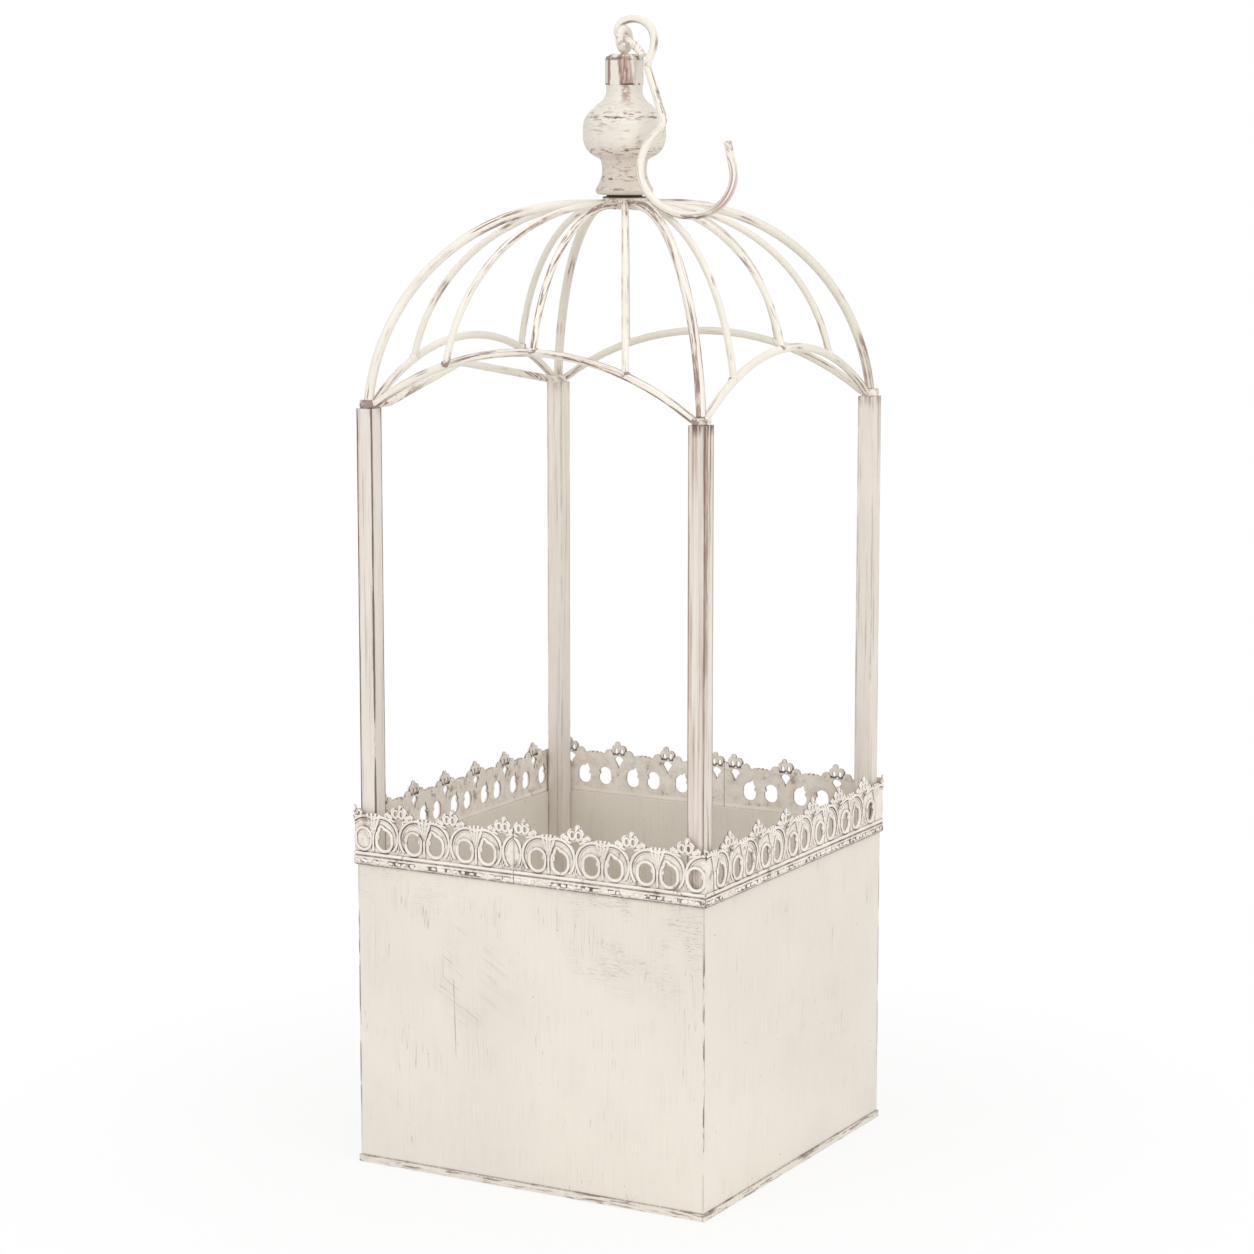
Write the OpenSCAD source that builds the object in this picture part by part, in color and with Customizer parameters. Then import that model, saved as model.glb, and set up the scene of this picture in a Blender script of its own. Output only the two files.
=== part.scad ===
// Square sheet planter under a domed wire frame, with a turned finial and a swinging hook.
// Z is up, the front is -Y, and the origin is at the middle of the flat bottom.

/* [Box] */
// Outside width of the box, across two opposite walls
box_w = 200; // [150:1:280]
// Height of the walls' top edge
wall_top = 161; // [120:1:220]
// Thickness of the wall sheet
wall_t = 1.1; // [0.8:0.1:2]
// Thickness of the floor sheet and its lip
floor_t = 0.8; // [0.6:0.1:2]
// Height of the lip round the floor
lip_h = 3.5; // [2:0.5:8]

/* [Gallery strip] */
// Height of the strip's lower edge
gallery_z = 157.3; // [110:0.1:210]
// Thickness of the strip's sheet
gallery_t = 1; // [0.8:0.1:1.6]
// How far the stamped relief stands proud of the sheet
relief_h = 0.5; // [0.3:0.1:1]
// Distance from one arch of the strip to the next
gallery_pitch = 30.6; // [28:0.1:36]
// Radius of the round outline about each eyelet; two of them make an arch
scallop_r = 10.6; // [9.4:0.1:10.8]
// Sideways place of that outline's centre from its arch's centre
scallop_x = 5; // [4.4:0.1:5.6]
// Height of that outline's centre above the strip's lower edge
scallop_z = 15.8; // [14:0.1:17]
// Width of an eyelet
eyelet_w = 8; // [5:0.1:8.6]
// Height of an eyelet
eyelet_h = 10; // [8:0.1:10.4]
// Sideways place of an eyelet from its arch's centre
eyelet_x = 6.5; // [6:0.1:7]
// Height of an eyelet's centre above the strip's lower edge
eyelet_z = 13.8; // [12:0.1:14.4]
// Height of the dashed band along the strip's lower edge
dash_band_h = 4.4; // [2:0.1:4.6]
// Diameter of the smooth bead above the dashed band
bead_d = 1.8; // [1.4:0.1:2.4]
// Height of that bead's centre above the strip's lower edge
bead_z = 6.1; // [5.6:0.1:6.4]
// Distance from a corner to the middle of the eyelet beside it
corner_eyelet = 5.2; // [5:0.1:7]
// Sideways place of the front and back seams, from the middle
seam_x = 6.5; // [0:0.5:12]
// Gap left in each seam
seam_gap = 0.3; // [0.1:0.1:1]

/* [Posts] */
// Width of the square tube
post_w = 9; // [6:0.5:14]
// Wall thickness of the tube
post_t = 1.2; // [0.8:0.1:2]
// Height of the post tops
post_top = 390; // [260:1:480]
// Clearance between a post and the inside of the walls
post_gap = 0.3; // [0.1:0.1:1]

/* [Wires] */
// Diameter of the arch wire
arch_d = 4; // [2.5:0.1:6]
// Height of the arch wire's middle at its peak above the post tops
arch_lift = 31; // [20:1:60]
// Inside radius of the bend that lays an arch's end flat on its post
foot_bend_r = 5; // [3:0.5:10]
// Length of the flat end on the post
foot_run = 7; // [5:0.5:9]
// Diameter of the corner ribs
corner_rib_d = 4.8; // [3:0.1:6]
// Diameter of the ribs that rise from the arches
face_rib_d = 3.5; // [2.5:0.1:4.5]
// Height of the ribs' middle above the post tops, where they run in to the hub
dome_lift = 100.4; // [80:0.1:160]
// Distance from the axis at which a corner rib begins to bend
corner_flat_r = 25; // [18:1:40]
// The same for the ribs beside the middle of a face
side_flat_r = 13.5; // [12:0.5:30]
// The same for the rib in the middle of a face
middle_flat_r = 12; // [12:0.5:30]
// Usual sideways place of the outer ribs on an arch
rib_foot_x = 50; // [35:1:65]
// Diameter of the low wire on the left side
brace_d = 4; // [2.5:0.1:4]
// Height of the low wire's middle above the post tops, where it bows up
brace_lift = 18; // [8:1:20]
// Place of that bow, from the middle towards the back
brace_y = -14; // [-30:1:30]
// Length of the low wire's flat ends
brace_flat = 10; // [6:1:16]

/* [Finial] */
// Radius of the hub that the ribs run into
hub_r = 11; // [10.5:0.5:12]
// How far the hub's lower face lies under the ribs' middle
hub_drop = 2.4; // [2.4:0.1:3]
// Height of the hub's collar
hub_h = 6.2; // [5.8:0.1:10]
// Step between the collar and the finial's foot
hub_step = 1; // [0.5:0.1:3]
// Radius of the finial's foot
foot_r = 14.6; // [12.5:0.1:18]
// Height of the finial, from the foot to the cap
finial_h = 54.8; // [54.8:0.1:70]
// Largest radius of the bulb
bulb_r = 21; // [18:0.5:24]
// Radius of the low neck between foot and bulb
waist_r = 11.3; // [9:0.1:12]
// Radius of the neck under the cap
neck_r = 9.1; // [7:0.1:9.6]
// Radius of the cap, to its corners
cap_r = 9.8; // [9.5:0.1:14]
// Height of the cap
cap_h = 15.4; // [12:0.1:24]
// Turn of the cap's flats from the box's walls
cap_turn = -5; // [-22:1:22]

/* [Eye and hook] */
// Diameter of the eye bolt's wire
eye_d = 3.8; // [3:0.1:4]
// Radius of the eye's ring, at the wire's middle
eye_r = 5.3; // [5.2:0.1:8]
// Diameter of the bolt's shank
shank_d = 3.5; // [2.5:0.1:3.7]
// Diameter of the bores that the shank passes through
shank_bore = 4; // [3.8:0.1:4.6]
// Width across the flats of the nut
nut_w = 7; // [6:0.1:8]
// Height of the nut
nut_h = 3.2; // [2.4:0.1:4]
// Diameter of the hook's wire
hook_d = 4; // [3:0.1:4.1]
// Angle by which the hook leans forward, off the bulb
hook_lean = 18; // [14:1:20]
// Bend radius of the hook's loop where it goes round the eye
wrap_r = 4.4; // [4.3:0.1:4.6]
// Bend radius of the loop's far side
loop_r = 13.9; // [12:0.1:15]
// Angle of that bend
loop_turn = 132.5; // [126:0.5:136]
// Bend radius of the loop's cut end
tail_r = 32; // [24:1:60]
// Angle of the cut end's bend
tail_turn = 31; // [20:1:34]
// Length of the straight between the loop and the throat
throat_run = 2.6; // [1:0.1:6]
// Bend radius where the loop runs out into the shaft
throat_r = 8.4; // [6:0.1:12]
// Angle of that bend
throat_turn = 44; // [40:0.5:48]
// Height that the hook's bends take up beside the finial, of which the straight shaft spans the rest
shaft_spare = 35.4; // [28:0.1:42]
// Bend radius of the kink between shaft and bow
kink_r = 6; // [4:0.5:10]
// Angle of the kink
kink_turn = 70; // [60:1:74]
// Length of the straight between the kink and the bow
kink_run = 2.6; // [1:0.1:8]
// Bend radius of the hook's lower bow, on the shaft's side
bow_in_r = 21; // [16:0.5:26]
// Angle of that bend
bow_in_turn = 77; // [70:1:84]
// Bend radius of the bow's bottom
bow_low_r = 34.5; // [28:0.5:42]
// Angle of the bottom's bend
bow_low_turn = 69; // [60:1:76]
// Bend radius of the bow, on the tip's side
bow_out_r = 17.5; // [14:0.5:22]
// Angle of the bend on the tip's side
bow_out_turn = 98.5; // [90:0.5:110]
// Length of the straight tip
tip_run = 14.3; // [8:0.5:20]

/* [Hidden] */
FACE_NAMES = ["front", "right", "back", "left"];
CORNER_NAMES = ["front_right", "back_right", "back_left", "front_left"];

// Places of each face's ribs along its arch, as shares of the usual place; back and left have no middle rib
rib_places = [[-0.96, 0.04, 1.06], [-1.22, -0.2, 0.88], [-0.8, 1.02], [-1.1, 1.02]];
$fn = 48;
slip = 0.1;

// Largest turn between two rings of a swept wire; wide bends take smaller turns, by the root of their radius
ring_turn = 12;
wide_ring_turn = 45;

// Heights that follow the post tops
arch_top = post_top + arch_lift;
dome_top = post_top + dome_lift;
brace_top = post_top + brace_lift;
hub_z = dome_top - hub_drop;
cut = dome_top;

half_w = box_w / 2;
post_c = half_w - wall_t - post_gap - post_w / 2;
post_out = post_c + post_w / 2;

// Arch: one round stretch between two small bends that lay its ends flat
foot_z = post_top + slip + arch_d / 2;
arch_rise = arch_top - foot_z;
arch_half = post_out - foot_run;
arch_r = (arch_half ^ 2 + arch_rise ^ 2) / (2 * arch_rise) - foot_bend_r;
arch_turn = asin(arch_half / (arch_r + foot_bend_r));
function arch_z(x) = arch_top - arch_r + sqrt(arch_r ^ 2 - x ^ 2);

// Finial: heights above its foot, and the radii of its turned stretches
finial_z = hub_z + hub_h + hub_step;
cap_z = finial_z + finial_h;
foot_round = 2.3;
waist_z = 12.6;
waist_round = 16;
bulb_round = 11;
bulb_low = 29;
bulb_high = 33.5;
cove_z = 52.5;
cove_round = 8;
cap_round = 4.3;
cap_over = 0.4; // the turned outline stands this far outside the eight corners

// Eye: a ring that stands on the cap
eye_z = cap_z + cap_h + eye_r + eye_d / 2;
bear_turn = hook_lean / 2;
bear_y = eye_r * sin(bear_turn);
bear_z = eye_z + eye_r * cos(bear_turn);
nut_z = hub_z + 0.6;

// Hook: where its loop leaves the ring, the way its shaft heads, and how far a millimetre of shaft brings
// the bow nearer to the dome, which slopes away under it
wrap_from = 115;
wrap_to = 250;
shaft_heading = wrap_from - 90 - loop_turn + throat_turn;
slope_share = 0.83;
shaft_near = -sin(shaft_heading) * cos(hook_lean) * slope_share;
shaft_run = (finial_h - shaft_spare) / shaft_near;

palette_paint = [0.91, 0.88, 0.84];
palette_shade = [0.86, 0.82, 0.76];
palette_worn = [0.78, 0.7, 0.66];

// Turns the front face's copy to face i, counted front, right, back, left
module face(i) {
    rotate([0, 0, 90 * i])
        children();
}

// A bar of wire along +X, with what follows carried at its end
module run(d, length) {
    rotate([0, 90, 0])
        cylinder(d = d, h = length);
    translate([length, 0, 0])
        children();
}

// A bend of wire that leaves along +X and turns in the XY plane, to the left when turn is positive
module bend(d, r, turn) {
    side = turn > 0 ? 1 : -1;
    mirror([0, side > 0 ? 0 : 1, 0])
        translate([0, r, 0])
            rotate([0, 0, -90])
                rotate_extrude(angle = abs(turn))
                    translate([r, 0])
                        circle(d = d);
    translate([r * sin(abs(turn)), side * r * (1 - cos(turn)), 0])
        rotate([0, 0, turn])
            children();
}

// A wire's path in its plane. A place is [x, y, heading]; a step is [length] or [bend radius, turn].
function wire_place(at, step, share) =
    len(step) == 1
        ? at + step[0] * share * [cos(at.z), sin(at.z), 0]
        : let (turn = step[1] * share, r = sign(turn) * step[0])
            at + [r * (sin(at.z + turn) - sin(at.z)), r * (cos(at.z) - cos(at.z + turn)), turn];

function wire_path(steps, at, i = 0) =
    i == len(steps)
        ? [at]
        : let (
            turn_limit = min(ring_turn, wide_ring_turn / sqrt(steps[i][0])),
            count = len(steps[i]) == 1 ? 1 : ceil(abs(steps[i][1]) / turn_limit)
        )
            concat(
                [for (k = [0:count - 1]) wire_place(at, steps[i], k / count)],
                wire_path(steps, wire_place(at, steps[i], 1), i + 1)
            );

// A round wire swept along a path
module wire(d, path) {
    sides = 16;
    rings = len(path);
    points = [
        for (at = path) for (k = [0:sides - 1])
            let (across = d / 2 * cos(360 * k / sides))
                [at.x - across * sin(at.z), at.y + across * cos(at.z), d / 2 * sin(360 * k / sides)]
    ];
    skin = [
        for (i = [0:rings - 2]) for (k = [0:sides - 1])
            let (next = (k + 1) % sides, near = i * sides, far = near + sides)
                each [[near + k, near + next, far + next], [near + k, far + next, far + k]]
    ];
    near_end = [for (k = [sides - 1:-1:0]) k];
    far_end = [for (k = [0:sides - 1]) (rings - 1) * sides + k];
    polyhedron(points, concat(skin, [near_end, far_end]));
}

// Floor and walls
module base_pan() {
    color(palette_paint)
        difference() {
            translate([-half_w - floor_t, -half_w - floor_t, 0])
                cube([box_w + 2 * floor_t, box_w + 2 * floor_t, lip_h]);
            translate([-half_w, -half_w, floor_t])
                cube([box_w, box_w, lip_h]);
        }
}

module panel(i) {
    inner = half_w - wall_t;
    color(palette_paint)
        face(i)
            translate([0, 0, floor_t])
                linear_extrude(wall_top - floor_t)
                    polygon([[-half_w, -half_w], [half_w, -half_w], [inner, -inner], [-inner, -inner]]);
}

// Gallery strip, drawn flat: X along the face, Y up from the strip's lower edge
module stadium(w, h) {
    for (side = [-1, 1])
        translate([0, side * (h - w) / 2])
            circle(d = w);
    square([w, h - w], center = true);
}

module leaf(length, w) {
    r = (length ^ 2 + w ^ 2) / (4 * w);
    intersection() {
        translate([r - w / 2, length / 2])
            circle(r = r);
        translate([w / 2 - r, length / 2])
            circle(r = r);
    }
}

// The shapes below are drawn for this distance between arches, and grow and shrink with the real one
drawn_pitch = 30.6;
motif = gallery_pitch / drawn_pitch;
fleur_lobes = [[-1.9, 29.4, 2.3], [1.9, 29.4, 2.5], [0.9, 32.1, 1.6], [-6.3, 26.4, 2.6], [6.3, 26.4, 2.6]];
fleur_hole = [1.9, 2.9];
fleur_hole_x = 1.75;
fleur_hole_z = 28.3;
fleur_rim = 1;
fan_lobes = [-3, 0, 3];
border_w = 1.4 * motif;
strip_reach = 2 * gallery_pitch;

module fleur_outline() {
    scale(motif) {
        for (lobe = fleur_lobes)
            translate([lobe[0], lobe[1]])
                circle(r = lobe[2]);
        translate([-8.7, 12])
            square([17.4, 14]);
    }
}

// The two openings in each fleur, or with a rim their raised borders
module fleur_openings(rim) {
    scale(motif)
        for (side = [-1, 1])
            translate([side * fleur_hole_x, fleur_hole_z])
                stadium(fleur_hole[0] + 2 * rim, fleur_hole[1] + 2 * rim);
}

// Round outlines about the two eyelets of an arch, drawn smaller by an inset
module scallops(inset) {
    for (side = [-1, 1])
        translate([side * scallop_x, scallop_z])
            circle(r = scallop_r - inset);
}

// The gap between two arches, closed at the top by the fleur
module vee_hole() {
    difference() {
        scale(motif) {
            translate([0, 22.2])
                circle(r = 3.2);
            translate([-3.2, 17.5])
                square([6.4, 4.7]);
        }
        for (side = [-0.5, 0.5])
            translate([side * gallery_pitch, 0])
                scallops(0);
    }
}

// The raised border that follows an arch's outline down to the band on each side
module arch_border() {
    intersection() {
        difference() {
            scallops(0);
            scallops(border_w);
        }
        translate([-gallery_pitch, scallop_z * 0.55])
            square([2 * gallery_pitch, gallery_pitch]);
    }
}

// The point that the right-hand eyelet of an arch runs up to, drawn wider by an allowance
module eyelet_point(side, grow) {
    reach = eyelet_h / 2;
    if (side > 0)
        polygon([[-reach * 0.66 - grow, reach * 0.5], [-1.8, reach + 2 + grow], [0.4 + grow, reach * 0.86]]);
}

// An eyelet is pinched by a curl on its stem side
module eyelet(side) {
    curl_r = 1.1;
    mirror([side < 0 ? 1 : 0, 0])
        difference() {
            union() {
                stadium(eyelet_w, eyelet_h);
                eyelet_point(side, 0);
            }
            translate([-eyelet_w / 2, curl_r + 0.3])
                circle(r = curl_r);
        }
}

// Middles of the arches that reach into a stretch, with arches at every pitch from the shift
function lunettes(from, to, shift) = [
    for (k = [ceil((from - shift) / gallery_pitch - 0.5) : floor((to - shift) / gallery_pitch + 0.5)])
        shift + k * gallery_pitch
];

// Middles of the eyelets that fit between the corners, with the one beside a corner added
eyelet_limit = half_w + gallery_t - eyelet_w / 2 - 0.9;
function eyelets(from, to, shift) = [
    for (x = lunettes(from, to, shift)) for (side = [-1, 1])
        let (place = x + side * eyelet_x)
            if (place > from + eyelet_w / 2 && place < to - eyelet_w / 2 && abs(place) < eyelet_limit)
                [place, side]
];

module strip_sheet(from, to, shift, eyelet_list) {
    intersection() {
        translate([from, 0])
            square([to - from, strip_reach]);
        difference() {
            union() {
                translate([from, 0])
                    square([to - from, 16.5 * motif]);
                for (x = lunettes(from, to, shift)) {
                    translate([x, 0])
                        scallops(0);
                    for (lobe = fan_lobes)
                        translate([x + lobe * motif, 25.3 * motif])
                            circle(r = 1.7 * motif);
                    for (side = [-0.5, 0.5])
                        translate([x + side * gallery_pitch, 0])
                            fleur_outline();
                }
            }
            for (place = eyelet_list)
                translate([place[0], eyelet_z])
                    eyelet(place[1]);
            for (x = lunettes(from, to, shift))
                translate([x + gallery_pitch / 2, 0]) {
                    vee_hole();
                    fleur_openings(0);
                }
        }
    }
}

// Stamped relief: eyelet rims, a stem with three leaves in each arch, and the lobes of each fleur
module strip_relief(from, to, shift, eyelet_list) {
    rim = 1.2;
    intersection() {
        translate([from + rim / 2, 0])
            square([to - from - rim, strip_reach]);
        union() {
            for (place = eyelet_list)
                translate([place[0], eyelet_z])
                    difference() {
                        stadium(eyelet_w + 2 * rim, eyelet_h + 2 * rim);
                        stadium(eyelet_w + 0.3, eyelet_h + 0.3);
                        eyelet_point(place[1], 0.15);
                    }
            for (x = lunettes(from, to, shift)) {
                translate([x, 0]) {
                    arch_border();
                    scale(motif)
                        translate([0, 18.2])
                            for (turn = [-26, 0, 26])
                                rotate(-turn)
                                    translate([0, 0.4])
                                        leaf(7.9, 2.1);
                }
                translate([x + gallery_pitch / 2, 0]) {
                    scale(motif)
                        for (side = [-1, 1])
                            translate([side * 3.4, 26])
                                rotate(-side * 68)
                                    leaf(5, 2.4);
                    difference() {
                        fleur_openings(fleur_rim);
                        fleur_openings(0);
                    }
                }
            }
        }
    }
}

module strip_face(from, to, shift, corner_side) {
    corner_x = half_w + gallery_t - corner_eyelet;
    beside_corner = corner_side == 0 ? [] : [[corner_side * corner_x, -corner_side]];
    eyelet_list = concat(eyelets(from, to, shift), beside_corner);
    translate([0, -half_w, gallery_z])
        rotate([90, 0, 0]) {
            linear_extrude(gallery_t)
                strip_sheet(from, to, shift, eyelet_list);
            translate([0, 0, gallery_t - 0.2])
                linear_extrude(relief_h + 0.2) {
                    strip_relief(from, to, shift, eyelet_list);
                    translate([from, 0.5])
                        square([to - from, dash_band_h - 0.5]);
                }
            translate([from, bead_z, gallery_t])
                rotate([0, 90, 0])
                    cylinder(d = bead_d, h = to - from);
        }
}

// One strip covers the front from the seam to the corner, the whole right side and most of half the back
module gallery_strip() {
    corner = half_w + gallery_t;
    color(palette_paint) {
        strip_face(-seam_x + seam_gap / 2, corner, 13.6, 1);
        face(1)
            strip_face(-corner, corner, 0, 0);
        face(2)
            strip_face(-corner, -seam_x - seam_gap / 2, -28.4, 0);
    }
}

// Frame
module post(i) {
    color(palette_shade)
        face(i)
            translate([post_c, -post_c, floor_t])
                difference() {
                    translate([-post_w / 2, -post_w / 2, 0])
                        cube([post_w, post_w, post_top - floor_t]);
                    translate([post_t - post_w / 2, post_t - post_w / 2, -1])
                        cube([post_w - 2 * post_t, post_w - 2 * post_t, post_top + 2]);
                }
}

// The front and back arches cross their posts; the side arches stop at them
module arch(i) {
    end_run = i % 2 == 0 ? foot_run : post_c - arch_d / 2 - slip - arch_half;
    steps = [
        [end_run],
        [foot_bend_r, arch_turn],
        [arch_r, -2 * arch_turn],
        [foot_bend_r, arch_turn],
        [end_run],
    ];
    color(palette_worn)
        face(i)
            translate([0, -post_c, 0])
                rotate([90, 0, 0])
                    wire(arch_d, wire_path(steps, [-arch_half - end_run, foot_z, 0]));
}

// Low wire: straights with bends at the corners of its path, along the left side from the back
brace_end = post_c - arch_d / 2 - slip;
brace_bend = 12;
brace_back = atan((brace_top - foot_z) / (brace_end - brace_flat - brace_y));
brace_front = atan((brace_top - foot_z) / (brace_end - brace_flat + brace_y));
function bend_reach(turn) = brace_bend * tan(turn / 2);

module brace_left() {
    rise = brace_top - foot_z;
    reach_top = bend_reach(brace_back + brace_front);
    steps = [
        [brace_flat - bend_reach(brace_back)],
        [brace_bend, brace_back],
        [rise / sin(brace_back) - bend_reach(brace_back) - reach_top],
        [brace_bend, -brace_back - brace_front],
        [rise / sin(brace_front) - bend_reach(brace_front) - reach_top],
        [brace_bend, brace_front],
        [brace_flat - bend_reach(brace_front)],
    ];
    color(palette_shade)
        translate([-post_c + arch_d / 2 + brace_d / 2 + slip, brace_end, post_top + slip + brace_d / 2])
            rotate([90, 0, -90])
                wire(brace_d, wire_path(steps, [0, 0, 0]));
}

// A dome rib in the vertical plane at a plan angle: level out of the hub, then one round bend down
module dome_rib(d, flat_r, plan_angle, foot_dist, foot_height) {
    reach = foot_dist - flat_r;
    drop = dome_top - foot_height;
    r = (reach ^ 2 + drop ^ 2) / (2 * drop);
    past_foot = 3;
    rotate([0, 0, plan_angle])
        translate([hub_r + slip, 0, dome_top])
            rotate([90, 0, 0])
                run(d, flat_r - hub_r - slip)
                    bend(d, r, -acos((r - drop) / r) - past_foot);
}

// A block with its upper face on a sloping plane through a point
module block_under(point, slope) {
    translate(point)
        rotate([0, slope, 0])
            translate([-15, -15, -30])
                cube([30, 30, 30]);
}

// A wedge beside a line out of the axis, which keeps neighbouring ribs apart at the hub
module wedge(plan_angle, side) {
    rotate([0, 0, plan_angle])
        translate([0, -side * slip / 2, 0])
            linear_extrude(dome_top + corner_rib_d)
                polygon([[0, 0], [box_w, 0], [box_w, side * box_w / 2]]);
}

function foot_x(i, k) = rib_foot_x * rib_places[i][k - 1];

// Plan angle at which a corner rib parts from the neighbour whose foot is at x
function parting(x) = 45 + (atan2(post_c, abs(x)) - 45) * corner_rib_d / (corner_rib_d + face_rib_d);

module corner_rib(i) {
    foot_height = foot_z + arch_d / 2;
    color(palette_worn)
        face(i)
            difference() {
                dome_rib(corner_rib_d, corner_flat_r, -45, post_c * sqrt(2), foot_height);
                translate([0, -cut, foot_height + slip - cut])
                    cube([cut, cut, cut]);
                wedge(-parting(foot_x(i, len(rib_places[i]))), -1);
                wedge(parting(foot_x((i + 1) % 4, 1)) - 90, 1);
            }
}

module face_rib(i, k) {
    last = len(rib_places[i]);
    x = foot_x(i, k);
    beside_corner = k == 1 || k == last;
    slope = asin(x / arch_r);
    top = arch_d / 2 + slip;
    color(palette_worn)
        face(i)
            difference() {
                dome_rib(face_rib_d, beside_corner ? side_flat_r : middle_flat_r, atan2(-post_c, x),
                    norm([x, post_c]), arch_z(x) + arch_d / 2);
                block_under([x + top * sin(slope), -post_c, arch_z(x) + top * cos(slope)], slope);
                if (k == 1)
                    wedge(parting(x) - 180, -1);
                if (k == last)
                    wedge(-parting(x), 1);
            }
}

// Hub, finial and cap
function arc(x, y, r, from, to, steps) = [
    for (i = [0:steps])
        let (a = from + (to - from) * i / steps)
            [x + r * cos(a), y + r * sin(a)]
];

module hub() {
    color(palette_shade)
        difference() {
            union() {
                translate([0, 0, hub_z])
                    cylinder(r = hub_r, h = hub_h);
                translate([0, 0, hub_z])
                    cylinder(r = neck_r, h = hub_h + hub_step);
            }
            translate([0, 0, hub_z - 1])
                cylinder(d = shank_bore, h = cut);
            translate([0, 0, hub_z - 1])
                cylinder(d = (nut_w + 3 * slip) / cos(30), h = nut_z - hub_z + 1 + nut_h, $fn = 6);
        }
}

module hub_nut() {
    color(palette_worn)
        translate([0, 0, nut_z])
            difference() {
                cylinder(d = nut_w / cos(30), h = nut_h, $fn = 6);
                translate([0, 0, -1])
                    cylinder(d = shank_d + 2 * slip, h = nut_h + 2);
            }
}

module finial() {
    outline = concat(
        [[shank_bore / 2, 0], [foot_r - foot_round, 0]],
        arc(foot_r - foot_round, foot_round, foot_round, -70, 50, 8),
        arc(waist_r + waist_round, waist_z, waist_round, 210, 162, 10),
        arc(bulb_r - bulb_round, bulb_low, bulb_round, -72, 0, 12),
        arc(bulb_r - bulb_round, bulb_high, bulb_round, 0, 58, 12),
        arc(neck_r + cove_round, cove_z, cove_round, 245, 180, 8),
        [[neck_r, finial_h], [shank_bore / 2, finial_h]]
    );
    color(palette_paint)
        translate([0, 0, finial_z])
            rotate_extrude()
                polygon(outline);
}

module finial_cap() {
    turned_r = cap_r + cap_over;
    outline = concat(
        [[shank_bore / 2, 0], [turned_r - 0.8, 0], [turned_r, 0.8]],
        arc(turned_r - cap_round, cap_h - cap_round, cap_round, 0, 90, 8),
        [[shank_bore / 2, cap_h]]
    );
    color(palette_worn)
        translate([0, 0, cap_z])
            intersection() {
                rotate_extrude()
                    polygon(outline);
                rotate([0, 0, cap_turn + 22.5])
                    translate([0, 0, -1])
                        cylinder(r = cap_r, h = cap_h + 2, $fn = 8);
            }
}

module eye_bolt() {
    color(palette_shade) {
        translate([0, 0, eye_z])
            rotate([0, 90, 0])
                rotate_extrude()
                    translate([eye_r, 0])
                        circle(d = eye_d);
        translate([0, 0, hub_z + 0.3])
            cylinder(d = shank_d, h = eye_z - eye_r - hub_z - 0.3);
    }
}

// Hook: flat in its own plane, which leans forward through the place where the loop bears on the ring
module hook() {
    start = [wrap_r * cos(wrap_from), wrap_r * sin(wrap_from), wrap_from - 90];
    body = wire_path([
        [loop_r, -loop_turn],
        [throat_run],
        [throat_r, throat_turn],
        [shaft_run],
        [kink_r, -kink_turn],
        [kink_run],
        [bow_in_r, bow_in_turn],
        [bow_low_r, bow_low_turn],
        [bow_out_r, bow_out_turn],
        [tip_run],
    ], start);
    tail = wire_path([[wrap_r, wrap_to - wrap_from], [tail_r, -tail_turn]], start + [0, 0, 180]);
    color(palette_worn)
        translate([0, bear_y, bear_z])
            rotate([90 - hook_lean, 0, 0])
                wire(hook_d, concat(
                    [for (i = [len(tail) - 1:-1:1]) tail[i] - [0, 0, 180]],
                    body
                ));
}

base_pan();
gallery_strip();  // gallery_right
face(2) gallery_strip();  // gallery_left
for (i = [0:3]) {
    panel(i);
    post(i);
    arch(i);
    corner_rib(i);
    for (k = [1:len(rib_places[i])])
        face_rib(i, k);
}
brace_left();
hub();
hub_nut();
finial();
finial_cap();
eye_bolt();
hook();
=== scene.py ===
import bpy
import math
import random
from mathutils import Matrix, Vector


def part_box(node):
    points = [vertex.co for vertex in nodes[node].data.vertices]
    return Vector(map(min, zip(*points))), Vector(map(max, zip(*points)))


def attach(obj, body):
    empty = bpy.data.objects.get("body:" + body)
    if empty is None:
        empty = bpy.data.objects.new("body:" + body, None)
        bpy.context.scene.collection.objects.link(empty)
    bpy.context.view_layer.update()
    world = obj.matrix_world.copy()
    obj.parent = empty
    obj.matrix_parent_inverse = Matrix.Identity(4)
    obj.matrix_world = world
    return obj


print("stage 1: load the frame")
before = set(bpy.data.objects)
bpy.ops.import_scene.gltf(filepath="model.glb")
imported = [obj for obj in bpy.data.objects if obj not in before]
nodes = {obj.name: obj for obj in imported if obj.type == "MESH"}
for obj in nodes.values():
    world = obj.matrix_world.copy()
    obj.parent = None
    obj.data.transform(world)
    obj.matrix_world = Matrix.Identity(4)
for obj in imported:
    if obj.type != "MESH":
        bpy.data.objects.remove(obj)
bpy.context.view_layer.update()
# Lengths are in millimetres. Metres are for the places and sizes of camera, lamps and floor, and
# for lengths below 0.002, which go straight into Blender's settings
metre = 1000


def deselect():
    bpy.ops.object.select_all(action="DESELECT")


def linked(name, data):
    made = bpy.data.objects.new(name, data)
    bpy.context.scene.collection.objects.link(made)
    return made


deselect()


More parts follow.
